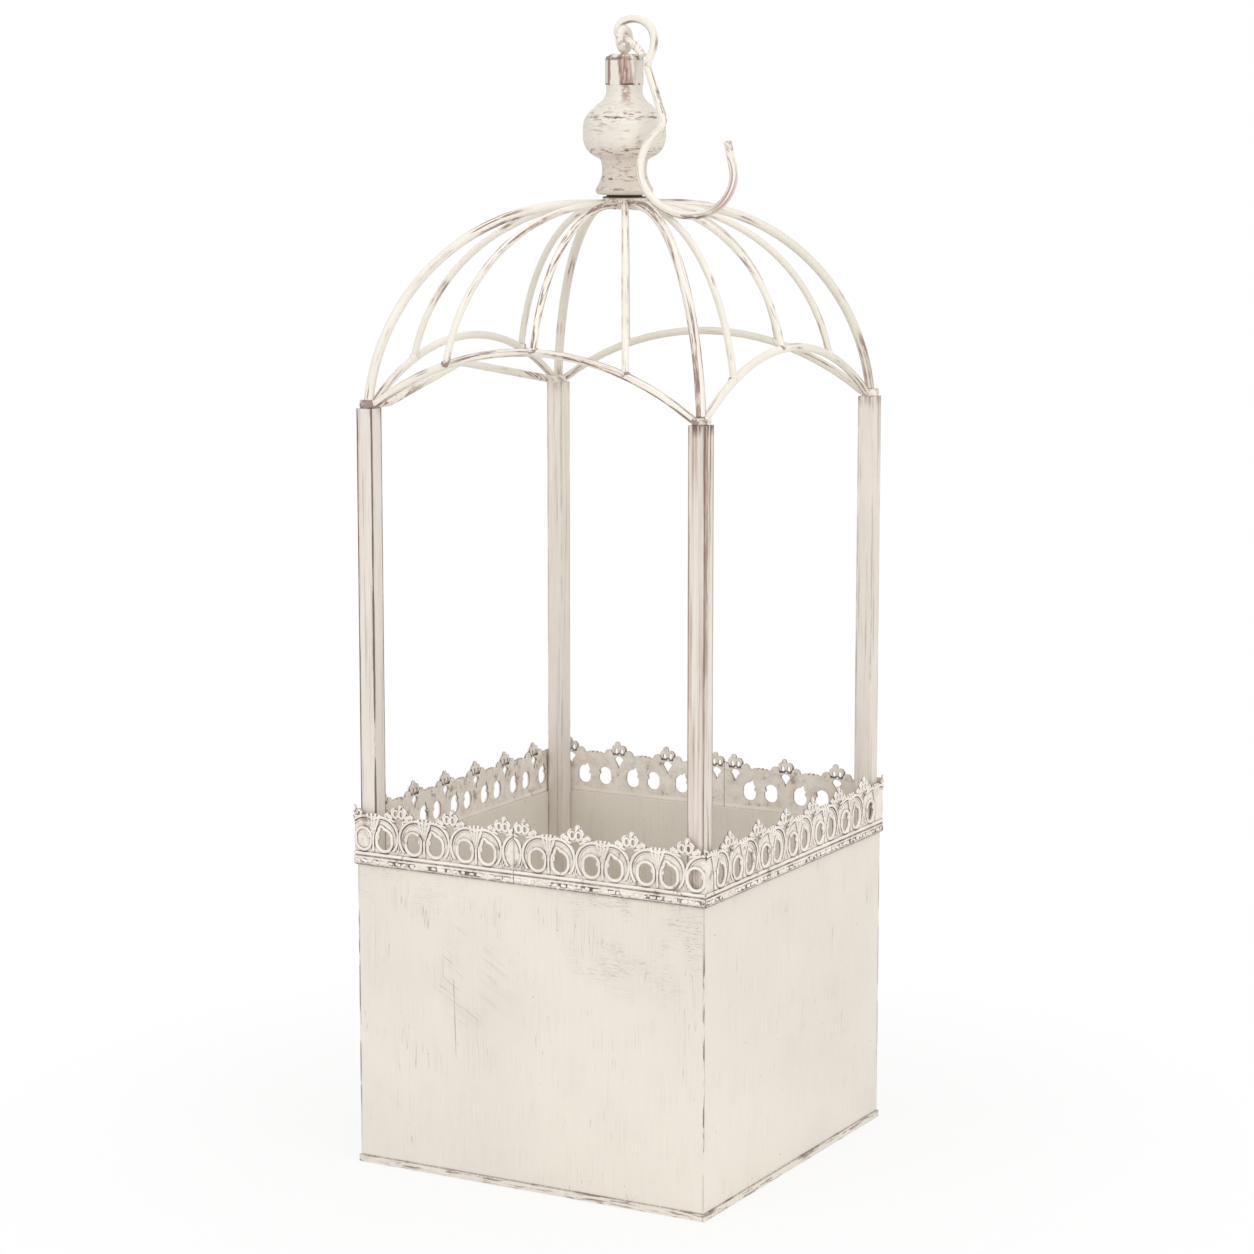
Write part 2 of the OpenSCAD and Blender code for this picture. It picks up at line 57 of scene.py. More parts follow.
# Shader maths: a channel is one output of a node, and Python's operators on it add Math nodes
class Channel:
    def __init__(self, wiring, socket):
        self.wiring = wiring
        self.socket = socket

    def beside(self, output):  # another output of the same node
        return Channel(self.wiring, self.socket.node.outputs[output])

    def maths(self, operation, *values):
        settings = {"operation": operation}
        return self.wiring.node("ShaderNodeMath", settings, dict(enumerate(values)))

    def __add__(self, other):
        return self.maths("ADD", self, other)

    def __radd__(self, other):
        return self.maths("ADD", other, self)

    def __sub__(self, other):
        return self.maths("SUBTRACT", self, other)

    def __rsub__(self, other):
        return self.maths("SUBTRACT", other, self)

    def __mul__(self, other):
        return self.maths("MULTIPLY", self, other)

    def __rmul__(self, other):
        return self.maths("MULTIPLY", other, self)

    def __abs__(self):
        return self.maths("ABSOLUTE", self)

    def most(self, other):
        return self.maths("MAXIMUM", self, other)

    def least(self, other):
        return self.maths("MINIMUM", self, other)

    def cosine(self):
        return self.maths("COSINE", self)

    def angle(self, other):  # the angle whose tangent is self over other
        return self.maths("ARCTAN2", self, other)

    def distance(self, other):  # how far the point at self and other is from the origin
        return self.maths("POWER", self * self + other * other, 0.5)

    def step(self, low, high):  # 0 below low, 1 above high, or the other way round
        falling = low > high
        return self.wiring.node("ShaderNodeMapRange", {"interpolation_type": "SMOOTHSTEP"}, {
            "Value": self, "From Min": min(low, high), "From Max": max(low, high),
            "To Min": int(falling), "To Max": int(not falling)})

    def rising(self, lowest, edges):  # the same step, but from lowest to 1
        return lowest + (1 - lowest) * self.step(*edges)

    def near(self, middle, edges):  # 1 where self is close to middle
        return abs(self - middle).step(*edges)


class Wiring:  # the nodes of the world or of one material
    def __init__(self, tree, ending):
        self.tree = tree
        tree.nodes.clear()
        self.output = self.add(ending)

    def add(self, kind, settings=None, sockets=None):
        made = self.tree.nodes.new(kind)
        for key, value in (settings or {}).items():
            setattr(made, key, value)
        for key, value in (sockets or {}).items():
            self.feed(made.inputs[key], value)
        return made

    def node(self, kind, settings=None, sockets=None, give=0):  # added, and one output given
        return Channel(self, self.add(kind, settings, sockets).outputs[give])

    def feed(self, socket, value):
        if isinstance(value, Channel):
            self.tree.links.new(value.socket, socket)
        else:
            socket.default_value = value

    def show(self, surface):
        self.feed(self.output.inputs["Surface"], surface)


relief = {"strength": 0.6, "depth": 0.0002, "hollowSamples": 6}


class Paint(Wiring):
    def __init__(self, name, coat):  # coat is a piece's dictionary
        self.coat = coat
        self.material = bpy.data.materials.new(name)
        self.material.use_nodes = True
        super().__init__(self.material.node_tree, "ShaderNodeOutputMaterial")
        self.surface = self.node("ShaderNodeBsdfPrincipled")
        self.show(self.surface)
        inMetres = self.node("ShaderNodeTexCoord", give="Object")
        scaling = {0: inMetres, "Scale": metre}
        self.place = self.node("ShaderNodeVectorMath", {"operation": "SCALE"}, scaling)
        self.x = self.node("ShaderNodeSeparateXYZ", None, {0: self.place}, "X")
        self.y = self.x.beside("Y")
        self.z = self.x.beside("Z")

    def vector(self, x, y, z):
        return self.node("ShaderNodeCombineXYZ", None, {0: x, 1: y, 2: z})

    def stretched(self, across, up):  # the place at one scale across and another one up
        return self.vector(self.x * across, self.y * across, self.z * up)

    def noise(self, vector, scale=1, detail=2, roughness=0.5, distortion=0):
        return self.node("ShaderNodeTexNoise", {"noise_dimensions": "3D"}, {
            "Vector": vector, "Scale": scale, "Detail": detail,
            "Roughness": roughness, "Distortion": distortion})

    def mottled(self, *noise):
        return self.noise(self.place, *noise)

    def grain(self, across, up, detail=2, roughness=0.5):  # noise drawn out along the height
        return self.noise(self.stretched(across, up), 1, detail, roughness)

    def start(self, first, second, share):  # the first coat: second over first
        self.colour = first
        self.lay(second, share)

    def lay(self, colour, share):  # a Mix node's colours are its sockets 6, 7 and 2
        self.colour = self.node("ShaderNodeMix", {"data_type": "RGBA"}, {
            0: share, 6: self.colour, 7: colour}, give=2)

    def layWhere(self, value, colour, edges, share):  # laid where value steps up
        self.lay(colour, value.step(*edges) * share)

    # the AO node's occlusion, which the gallery's colour uses as painted shade
    def recessShade(self, reach):  # near 1 in recesses
        settings = {"samples": relief["hollowSamples"]}
        openness = self.node("ShaderNodeAmbientOcclusion", settings, {"Distance": reach}, "AO")
        return 1 - openness

    def fill(self, values):  # the sockets of the surface
        for key, value in values.items():
            self.feed(self.surface.socket.node.inputs[key], value)
        return self.material

    def finish(self, grain, height):
        even, spread = self.coat["roughness"]
        bump = self.node("ShaderNodeBump", None, {
            "Strength": relief["strength"], "Height": height,
            "Distance": self.coat.get("depth", relief["depth"])})
        return self.fill({  # a coat without gloss or metal has Blender's own
            "Base Color": self.colour, "Roughness": even + grain * spread, "Normal": bump,
            "Specular IOR Level": self.coat.get("gloss", 0.5),
            "Metallic": self.coat.get("metal", 0)})


def tone(red, green, blue):  # a screen colour, 0 to 255, as the linear colour that shaders take
    def linear(part):
        part = part / 255
        return part / 12.92 if part <= 0.04045 else ((part + 0.055) / 1.055) ** 2.4
    return (linear(red), linear(green), linear(blue), 1)


def dress(material, *names):  # a CAD node keeps its mesh and gets this material
    for name in names:
        mesh = nodes[name].data
        mesh.materials.clear()
        mesh.materials.append(material)


print("stage 2: camera, light and floor")
shot = {
    "place": (0.8420, -1.5088, 0.5401), "down": 8.773, "turn": 29.121,
    "lens": 97.13, "sensor": 36, "clipStart": 0.01,
}
cameraData = bpy.data.cameras.new("camera")
cameraData.sensor_width = shot["sensor"]
cameraData.lens = shot["lens"]
cameraData.clip_start = shot["clipStart"]
camera = linked("camera", cameraData)
camera.location = shot["place"]
camera.rotation_euler = (math.radians(90 - shot["down"]), 0, math.radians(shot["turn"]))
bpy.context.scene.camera = camera

lamps = {
    "lamp_key": {"place": (-0.9, -1.9, 1.5), "aim": (0, 0, 0.25), "size": 1.5, "power": 10.8},
    "lamp_fill": {"place": (1.9, -0.9, 1.2), "aim": (0, 0, 0.25), "size": 2.2, "power": 17.5},
    "lamp_top": {"place": (0.1, 0.2, 2.0), "aim": (0, 0, 0.3), "size": 1.4, "power": 5},
}


def softbox(name, place, aim, size, power):
    lamp = bpy.data.lights.new(name, "AREA")
    lamp.shape = "RECTANGLE"
    lamp.size = lamp.size_y = size
    lamp.energy = power
    box = linked(name, lamp)
    box.location = place
    box.rotation_euler = (Vector(aim) - Vector(place)).to_track_quat("-Z", "Y").to_euler()


for name, lamp in lamps.items():
    softbox(name, **lamp)

studio = {
    "light": {"Color": (1, 0.995, 0.985, 1), "Strength": 0.675},
    "backdrop": {"Color": (1, 1, 1, 1), "Strength": 1},
}
bpy.context.scene.view_settings.view_transform = "Standard"
world = bpy.data.worlds.new("studio")
bpy.context.scene.world = world
world.use_nodes = True
sky = Wiring(world.node_tree, "ShaderNodeOutputWorld")
light = sky.node("ShaderNodeBackground", None, studio["light"])
backdrop = sky.node("ShaderNodeBackground", None, studio["backdrop"])
cameraRay = sky.node("ShaderNodeLightPath", give="Is Camera Ray")
seen = cameraRay.most(cameraRay.beside("Is Transmission Ray"))
sky.show(sky.node("ShaderNodeMixShader", None, {0: seen, 1: light, 2: backdrop}))

ground = {
    "size": 12, "cells": 4, "height": -0.0003, "colour": (0.9, 0.89, 0.88, 1), "roughness": 0.9,
    "whiteNear": 0.82, "whiteFrom": (130, 420),  # white's share near by, growing to 1 from here
}
bpy.ops.mesh.primitive_grid_add(
    x_subdivisions=ground["cells"], y_subdivisions=ground["cells"], size=ground["size"],
    location=(0, 0, ground["height"]))
floor = bpy.context.object
floor.name = "floor"
floorPaint = Paint("floorPaint", ground)
floorPaint.fill({"Base Color": ground["colour"], "Roughness": ground["roughness"]})
away = floorPaint.x.distance(floorPaint.y)
cameraRay = floorPaint.node("ShaderNodeLightPath", give="Is Camera Ray")
shown = cameraRay * away.rising(ground["whiteNear"], ground["whiteFrom"])
glow = floorPaint.node("ShaderNodeEmission")
floorPaint.show(floorPaint.node("ShaderNodeMixShader", None, {
    0: shown, 1: floorPaint.surface, 2: glow}))
floor.data.materials.append(floorPaint.material)
deselect()


print("stage 3: paints")
# In the dictionaries of the paints, a pair of edges is where a step begins and where it is full,
# a share is how much of a colour is laid on, and a noise is its scales, detail and roughness.
# A layer is its colour, edges and share, and roughness is where the grain is 0 and what it adds
cream = tone(238, 232, 221)
creamCool = tone(232, 226, 216)
creamPale = tone(246, 241, 231)
# khaki is painted shade, laid on the wires more towards the back
khaki = tone(205, 200, 180)
umber = tone(120, 95, 88)
darkBrown = tone(74, 54, 48)
rose = tone(190, 160, 149)
russet = tone(124, 92, 84)
firmClouds = (0.35, 0.65)
softClouds = (0.3, 0.7)
postMiddle = 94.1  # the posts' middles and the arches' plane, out from the axis

panelCoat = {
    "gloss": 0.35, "roughness": (0.4, 0.2),
    "clouds": (0.012, 2), "brush": (1.3, 0.04, 4, 0.65),
    "pale": (tone(244, 238, 230), (0.5, 0.8), 0.4),
    "dull": (tone(212, 204, 195), (0.48, 0.22), 0.45),
    # scratches: half a line's width, the edges of their patches, a seed and the lines' detail
    "upright": (0.009, (0.5, 0.64), 0, 0.6), "uprightScale": (0.42, 0.014),
    "hair": (0.014, (0.46, 0.7), 9, 0.6), "hairScale": (1.1, 0.02),
    "slant": (0.014, (0.38, 0.52), 4, 2), "slantScale": ((0.1, 0.16), 0.5, (0.62, 0.36)),
    "level": (0.016, (0.44, 0.56), 2, 2), "levelScale": (0.07, 0.75),
    "lineRoughness": 0.6, "lineDistortion": 0.25, "patchScale": (0.05, 0.04), "patchDetail": 3,
    "slantMiddle": (32, 106), "slantReach": (34, 12),  # left of the axis and up, on every face
    "levelRight": ((96, 128), (5, 45)), "levelLeft": ((128, 146), (-20, -60)),
    "levelLeftShare": 0.6, "frontFace": (-99, -99.8),
    "roseShares": (0.5, 0.32), "umberShares": (0.15, 0.45),
    "longCut": {"left": 42.5, "middle": 84, "lean": 0.03, "waver": 1.4, "width": (0.4, 0.1),
                "foot": (60, 68), "head": (107, 98), "breaks": (0.36, 0.5), "share": 0.6},
    "specks": (0.42, 2), "speckLayer": (umber, (0.745, 0.775), 0.8),
    "corner": (98.9, 99.9), "cornerFoot": (20, 42), "cornerHead": (142, 124),
    "cornerShares": (0.25, 0.65), "breaks": (0.6, 0.05, 4, 0.65), "breakEdges": (0.45, 0.54),
    "hem": (4.4, 3.3), "hemPatches": (0.05, 0.5, 5, 0.7), "hemPatchEdges": (0.5, 0.6),
    "hemShare": 0.75, "hemLine": (3.7, (0.45, 0.15)), "hemLineBreaks": (-0.4, 0.5),
    "hemLineShare": 0.5,
    "brushHeight": 0.7, "hairHeight": 0.5, "scratchHeight": -0.6,
}


def panelPaint():
    coat = panelCoat
    paint = Paint("panelPaint", coat)
    x, y, z = paint.x, paint.y, paint.z
    clouds = paint.mottled(*coat["clouds"])
    paint.start(creamCool, cream, clouds.step(*firmClouds))
    brushed = paint.grain(*coat["brush"])
    paint.layWhere(brushed, *coat["pale"])
    paint.layWhere(brushed, *coat["dull"])

    def scratches(vector, width, edges, seed, detail):  # lines where a noise crosses its middle
        line = paint.noise(vector, 1, detail, coat["lineRoughness"], coat["lineDistortion"])
        across, up = coat["patchScale"]
        patches = paint.noise(
            paint.vector(x * across + seed, y * across, z * up), 1, coat["patchDetail"])
        return line.near(0.5, (width, 0)) * patches.step(*edges)

    upright = scratches(paint.stretched(*coat["uprightScale"]), *coat["upright"])
    hair = scratches(paint.stretched(*coat["hairScale"]), *coat["hair"])
    # crossed scratches: slanting ones left of the middle, level ones near the front's top
    (alongX, alongZ), depth, (acrossZ, acrossX) = coat["slantScale"]
    slanted = paint.vector(x * alongX + z * alongZ, y * depth, z * acrossZ + x * acrossX)
    left, up = coat["slantMiddle"]
    fromMiddle = (x + left).distance(z - up)
    slant = scratches(slanted, *coat["slant"]) * fromMiddle.step(*coat["slantReach"])
    level = scratches(paint.stretched(*coat["levelScale"]), *coat["level"])
    heights, widths = coat["levelRight"]
    topRight = z.step(*heights) * x.step(*widths)
    heights, widths = coat["levelLeft"]
    topLeft = z.step(*heights) * x.step(*widths) * coat["levelLeftShare"]
    front = y.step(*coat["frontFace"])
    crossed = slant + level * (topRight + topLeft).least(1) * front
    uprightShare, hairShare = coat["roseShares"]
    paint.lay(rose, (upright * uprightShare + hair * hairShare).least(1))
    uprightShare, crossedShare = coat["umberShares"]
    paint.lay(umber, (upright * uprightShare + crossed * crossedShare).least(1))
    # one long scratch on the front
    cut = coat["longCut"]
    waver = (brushed - 0.5) * cut["waver"]
    across = abs(x + cut["left"] + (z - cut["middle"]) * cut["lean"] + waver)
    long = across.step(*cut["width"]) * z.step(*cut["foot"])
    long = long * z.step(*cut["head"]) * front
    paint.lay(umber, long * brushed.step(*cut["breaks"]) * cut["share"])
    paint.layWhere(paint.mottled(*coat["specks"]), *coat["speckLayer"])
    # rubbed corners and hem
    corner = abs(x).least(abs(y)).step(*coat["corner"])
    broken = paint.grain(*coat["breaks"]).step(*coat["breakEdges"])
    span = z.step(*coat["cornerFoot"]) * z.step(*coat["cornerHead"])
    ends, middle = coat["cornerShares"]
    paint.lay(darkBrown, corner * broken * (ends + span * middle))
    patchy = paint.grain(*coat["hemPatches"]).step(*coat["hemPatchEdges"])
    hem = z.step(*coat["hem"]) * patchy
    paint.lay(umber, hem * coat["hemShare"])
    hemLine = z.near(*coat["hemLine"]) * (broken + patchy).step(*coat["hemLineBreaks"])
    paint.lay(umber, hemLine * coat["hemLineShare"])
    cuts = (upright + crossed + hair * coat["hairHeight"]) * coat["scratchHeight"]
    return paint.finish(brushed, brushed * coat["brushHeight"] + cuts)


postCoat = {
    "gloss": 0.4, "roughness": (0.38, 0.25),
    "tones": (tone(228, 220, 211), tone(236, 229, 219)), "clouds": (0.05, 0.015, 3),
    "brush": (1.1, 0.05, 3, 0.6), "dull": (tone(204, 193, 184), (0.5, 0.2), 0.5),
    "upper": (200, 330), "front": (20, -20), "right": (-20, 20),
    "runs": (0.55, 0.009, 5, 0.65), "moreRuns": (0.02, 0.025),  # above, and on the near post
    "shares": (0.3, 0.2, 0.5),  # of brown everywhere, more on the right, more on the near post
    "roseFrom": (0.53, 0.63), "roseShare": 0.45, "russetFrom": (0.6, 0.64), "russetShare": 0.8,
    "frontFace": (-98.3, -98.55), "wash": tone(200, 181, 171), "washFrom": (0.42, 0.6),
    "washShare": 0.55,
    "rightFace": (98.3, 98.55), "bandSide": (-93.8, -95.6), "bandWaver": 5, "bandUp": (215, 300),
    "bandBreaks": (0.36, 0.5), "band": tone(146, 112, 102), "bandShare": 0.8,
    "edge": tone(98, 76, 68), "edgeNoise": (0.3, 0.022, 6, 0.7), "edgeUpper": 0.05,
    "edgeWaver": 2, "edgeFrom": (4.7, 5.1), "edgeFront": 0.14, "edgeBreaks": (0.5, 0.58),
    "edgeShares": (0.3, 0.6, 0.3),  # everywhere, more on the front posts, less on the near post
    "top": (383, 389.5), "topBreaks": (0.5, 0.6),
    "streakHeight": 0.4, "edgeHeight": 0.3,
}


def postPaint():
    coat = postCoat
    paint = Paint("postPaint", coat)
    x, y, z = paint.x, paint.y, paint.z
    clouds = paint.grain(*coat["clouds"])
    paint.start(*coat["tones"], clouds.step(*softClouds))
    brushed = paint.grain(*coat["brush"])
    paint.layWhere(brushed, *coat["dull"])
    upper = z.step(*coat["upper"])
    front = y.step(*coat["front"])
    right = x.step(*coat["right"])
    near = front * right  # the near post is the most worn
    moreAbove, moreNear = coat["moreRuns"]
    runs = paint.grain(*coat["runs"]) + upper * moreAbove + near * moreNear
    everywhere, moreRight, moreNear = coat["shares"]
    share = everywhere + moreRight * right + near * moreNear
    streak = runs.step(*coat["russetFrom"]) * share
    haze = runs.step(*coat["roseFrom"]) * share
    paint.lay(rose, haze * coat["roseShare"])
    paint.lay(russet, streak * coat["russetShare"])
    wash = near * y.step(*coat["frontFace"]) * runs.step(*coat["washFrom"])
    paint.lay(coat["wash"], wash * coat["washShare"])
    # a worn band on the right face, beside the near corner
    side = y + (brushed - 0.5) * coat["bandWaver"]
    band = x.step(*coat["rightFace"]) * side.step(*coat["bandSide"])
    band = band * z.step(*coat["bandUp"])
    band = band * brushed.step(*coat["bandBreaks"]) * coat["bandShare"]
    paint.lay(coat["band"], band)
    # rubbed long edges, most in the upper half
    edge = abs(abs(x) - postMiddle).least(abs(abs(y) - postMiddle))
    broken = paint.grain(*coat["edgeNoise"]) + upper * coat["edgeUpper"]
    rubbed = (edge + broken * coat["edgeWaver"]).step(*coat["edgeFrom"])
    rubbed = rubbed * (broken + front * coat["edgeFront"]).step(*coat["edgeBreaks"])
    everywhere, moreFront, lessNear = coat["edgeShares"]
    paint.lay(coat["edge"], rubbed * (everywhere + front * moreFront - near * lessNear))
    top = z.step(*coat["top"]) * broken.step(*coat["topBreaks"])
    paint.lay(umber, top * share)
    height = brushed - streak * coat["streakHeight"] - rubbed * coat["edgeHeight"]
    return paint.finish(brushed, height)


galleryCoat = {
    "gloss": 0.45, "roughness": (0.34, 0.25), "depth": 0.0001,
    "tones": (tone(239, 232, 223), tone(249, 244, 236)), "clouds": (0.06, 3),
    "mottle": (0.5, 4, 0.6), "worn": (0.13, 5, 0.7),
    "hollowReach": 0.0013, "roseMottle": 0.3, "rose": (rose, (0.27, 0.54), 0.45),
    "brownMottle": 0.45, "brownFrom": (0.4, 0.62),
    "uneven": (0.02, 2), "unevenEdges": (0.55, (0.4, 0.6)),
    "aboveBand": (0.4, (162.8, 163.8)),
    # wash is painted shade and brown wash together, on the flat sheet between the ridges
    "flatDepth": (101.3, 101.05), "flatUp": (163, 164), "wash": tone(190, 170, 152),
    "washMottle": 0.4, "washFrom": (0.6, 0.85), "washShares": (0.05, 0.35),
    "wornLayer": (umber, (0.58, 0.66), 0.55),
    "cutInner": (100.05, 100.15), "cutOuter": (100.9, 100.7), "cutShares": (0.35, 0.7),
    "proud": (100.6, 100.9), "sunk": (101.66, 101.58),
    "foot": (158.5, 157.8), "footBreaks": (0.3, 0.5),
    "padRow": (159.7, (1.4, 0.9)), "padMottle": 0.3, "padBreaks": (0.6, 0.7),
    "groove": (162.15, (0.5, 0.25)), "grooveMottle": 0.4, "grooveBreaks": (0.6, 0.85),
    "bandShares": (0.75, 0.9, 0.6),  # of brown along the foot, between the pads, in the groove
}


def galleryPaint():
    coat = galleryCoat
    paint = Paint("galleryPaint", coat)
    z = paint.z
    clouds = paint.mottled(*coat["clouds"])
    paint.start(*coat["tones"], clouds.step(*firmClouds))
    mottle = paint.mottled(*coat["mottle"])
    # rose and dark brown laid in the recesses by the AO node: brown wash and painted shade together
    recessShade = paint.recessShade(coat["hollowReach"])
    paint.layWhere(recessShade + mottle * coat["roseMottle"], *coat["rose"])
    brown = (recessShade + mottle * coat["brownMottle"]).step(*coat["brownFrom"])
    patches = paint.mottled(*coat["uneven"])
    uneven = patches.rising(*coat["unevenEdges"])
    above = z.rising(*coat["aboveBand"])
    paint.lay(darkBrown, brown * uneven * above)
    worn = paint.mottled(*coat["worn"])
    # a thin brown tone on the flat sheet between the ridges: painted shade and brown wash together
    depth = abs(paint.x).most(abs(paint.y))
    flat = depth.step(*coat["flatDepth"]) * z.step(*coat["flatUp"])
    least, more = coat["washShares"]
    wash = least + (worn + mottle * coat["washMottle"]).step(*coat["washFrom"]) * more
    paint.lay(coat["wash"], flat * wash)
    paint.layWhere(worn, *coat["wornLayer"])
    # brown left on the cut edges and in the band: along its foot, between its pads, in its groove
    cut = depth.step(*coat["cutInner"]) * depth.step(*coat["cutOuter"])
    least, more = coat["cutShares"]
    paint.lay(umber, cut * (least + mottle * more))
    proud = depth.step(*coat["proud"])
    sunk = depth.step(*coat["sunk"]) * proud
    foot = z.step(*coat["foot"]) * mottle.step(*coat["footBreaks"])
    between = sunk * z.near(*coat["padRow"])
    between = between * (worn + mottle * coat["padMottle"]).step(*coat["padBreaks"])
    groove = z.near(*coat["groove"]) * proud
    groove = groove * (worn + mottle * coat["grooveMottle"]).step(*coat["grooveBreaks"])
    footShare, padShare, grooveShare = coat["bandShares"]
    band = (foot * footShare + between * padShare + groove * grooveShare).least(1)
    paint.lay(darkBrown, band)
    return paint.finish(mottle, mottle)


wireCoat = {
    "gloss": 0.4, "roughness": (0.36, 0.2), "bareHeight": 0.5,
    "clouds": (0.03, 0.05), "cloudDetail": 3, "khaki": (khaki, (-20, 80), 0.4),  # more to the back
    "streaks": (0.02, 0.7), "streakNoise": (1, 3, 0.6, 0.3),
    "patches": 0.03, "patchSeed": 5, "patchEdges": (0.6, 0.74), "patchWear": 0.3,
    "foot": (406, 395), "footShare": 0.6,  # more wear where wires meet a post
    "flecks": (0.12, 0.6), "fleckNoise": (1, 4, 0.7), "fleckEdges": (0.4, 0.5),
    "bareFrom": 0.55, "bareWear": 0.035, "bareWidth": 0.04, "roseWidth": 0.05,
    "roseShare": 0.5, "russetShare": 0.8,
}


def wireBase(paint, route, wear):
    # route holds the streaks' own coordinates: along the wire, then two directions across it
    coat = wireCoat
    along, side, out = route

    def drawn(scales):  # coordinates drawn out along the wire
        lengthwise, across = scales
        return paint.vector(along * lengthwise, side * across, out * across)

    clouds = paint.noise(drawn(coat["clouds"]), 1, coat["cloudDetail"])
    paint.start(cream, creamPale, clouds.step(*softClouds))
    # painted shade: the wires turn khaki towards the back of the dome
    paint.layWhere(paint.y, *coat["khaki"])
    streaks = paint.noise(drawn(coat["streaks"]), *coat["streakNoise"])
    patches = paint.noise(paint.vector(
        along * coat["patches"], side * coat["patches"], coat["patchSeed"]))
    low, high = [edge - wear * coat["patchWear"] for edge in coat["patchEdges"]]
    foot = paint.z.step(*coat["foot"]) * coat["footShare"]
    worn = (patches.step(low, high) + foot).least(1)
    flecks = paint.noise(drawn(coat["flecks"]), *coat["fleckNoise"]).step(*coat["fleckEdges"])
    bareFrom = coat["bareFrom"] - wear * coat["bareWear"]
    bareTo = bareFrom + coat["bareWidth"]
    bare = streaks.step(bareFrom, bareTo) * worn * flecks
    rubbed = streaks.step(bareFrom - coat["roseWidth"], bareTo) * worn
    paint.lay(rose, rubbed * coat["roseShare"])
    paint.lay(russet, bare * coat["russetShare"])
    return streaks, streaks - bare * coat["bareHeight"]


def wirePaint(name, routeOf, wear):
    paint = Paint(name, wireCoat)
    streaks, height = wireBase(paint, routeOf(paint), wear)
    return paint.finish(streaks, height)


ribBend = {
    "corner": (25, 381.7), "face": (13.5, 395.7),  # the bend's centre, out from the axis and up
    "radius": 105, "apart": 350,  # apart gives each rib streaks of its own
}


def ribRoute(bend, azimuth):
    def route(paint):
        x, y = paint.x, paint.y
        flat, low = ribBend[bend]
        reach = x * math.cos(azimuth) + y * math.sin(azimuth) - flat
        rise = paint.z - low
        along = reach.angle(rise) * ribBend["radius"] + azimuth * ribBend["apart"]
        side = y * math.cos(azimuth) - x * math.sin(azimuth)
        return along, side, reach.distance(rise)
    return route


archBend = {"low": 266.4, "radius": 154.6}


def archRoute(flat):  # flat is the axis that the arch runs along
    def route(paint):
        run, side = (paint.x, paint.y) if flat == "x" else (paint.y, paint.x)
        rise = paint.z - archBend["low"]
        return run.angle(rise) * archBend["radius"], side, run.distance(rise)
    return route


# the hook's bends lie in a leaning plane through the ring: across is x, and up runs in the plane
hookBends = {
    "lean": 18, "ring": (0.829, 577.835), "rise": 0.6,
    "loop": ((4.01, -8.61), 13.9), "inward": ((41.66, -69.27), 21),
    "bottom": ((52.92, -61.82), 34.5), "outward": ((56.60, -78.41), 17.5),
    "shaftAcross": (16.98, 0.8949), "shaftUp": (21.54, 0.4462),  # a point on it and its normal
    "bottomFrom": (-80.8, -80.9), "outwardFrom": (60.3, 60.4),
    "shaftFrom": (-19, -21), "bowFrom": (-49, -50),
}
hookCoat = {
    "gloss": 0.4, "roughness": (0.34, 0.2), "wear": 0.5,
    "rubs": (0.2, 0.4), "rubNoise": (1, 4, 0.7),
    "under": (0, -1.1), "underUp": (502, 495), "underAcross": (66, 58),
    "outer": (0.7, 1.5), "outerUp": (538, (12, 8)),
    "rubEdges": (0.48, 0.55), "rubShare": 0.85,
    "end": tone(176, 144, 136), "endAcross": (58, 70), "endStreaks": (0.42, 0.56), "endShare": 0.85,
}


def hookRoute(paint):
    lean = math.radians(hookBends["lean"])
    ringBack, ringUp = hookBends["ring"]
    x = paint.x
    back = paint.y - ringBack
    rise = paint.z - ringUp
    up = back * math.sin(lean) + rise * math.cos(lean)
    out = rise * math.sin(lean) - back * math.cos(lean)

    def arcOffset(bend):  # signed distance outward from an arc
        (centreAcross, centreUp), radius = hookBends[bend]
        return (x - centreAcross).distance(up - centreUp) - radius

    def switch(value, edges, first, second):  # first before the edges, second past them
        return first + (second - first) * value.step(*edges)

    pointAcross, normalAcross = hookBends["shaftAcross"]
    pointUp, normalUp = hookBends["shaftUp"]
    shaft = (x - pointAcross) * normalAcross + (up + pointUp) * normalUp
    bow = switch(up, hookBends["bottomFrom"], 0 - arcOffset("inward"), 0 - arcOffset("bottom"))
    bow = switch(x, hookBends["outwardFrom"], bow, 0 - arcOffset("outward"))
    across = switch(up, hookBends["shaftFrom"], arcOffset("loop"), shaft)
    across = switch(up, hookBends["bowFrom"], across, bow)
    return up + x * hookBends["rise"], across, out


def hookPaint():
    coat = hookCoat
    paint = Paint("hookPaint", coat)
    route = hookRoute(paint)
    streaks, height = wireBase(paint, route, coat["wear"])
    along, across, out = route
    lengthwise, crosswise = coat["rubs"]
    rubs = paint.noise(
        paint.vector(along * lengthwise, across * crosswise, out * crosswise), *coat["rubNoise"])
    # brown along the underside of the bow and on the shaft's outer bend
    under = across.step(*coat["under"]) * paint.z.step(*coat["underUp"])
    under = under * paint.x.step(*coat["underAcross"])
    outer = across.step(*coat["outer"]) * paint.z.near(*coat["outerUp"])
    brown = (under + outer) * rubs.step(*coat["rubEdges"])
    paint.lay(umber, brown * coat["rubShare"])
    end = paint.x.step(*coat["endAcross"]) * streaks.step(*coat["endStreaks"])
    paint.lay(coat["end"], end * coat["endShare"])
    return paint.finish(streaks, height)


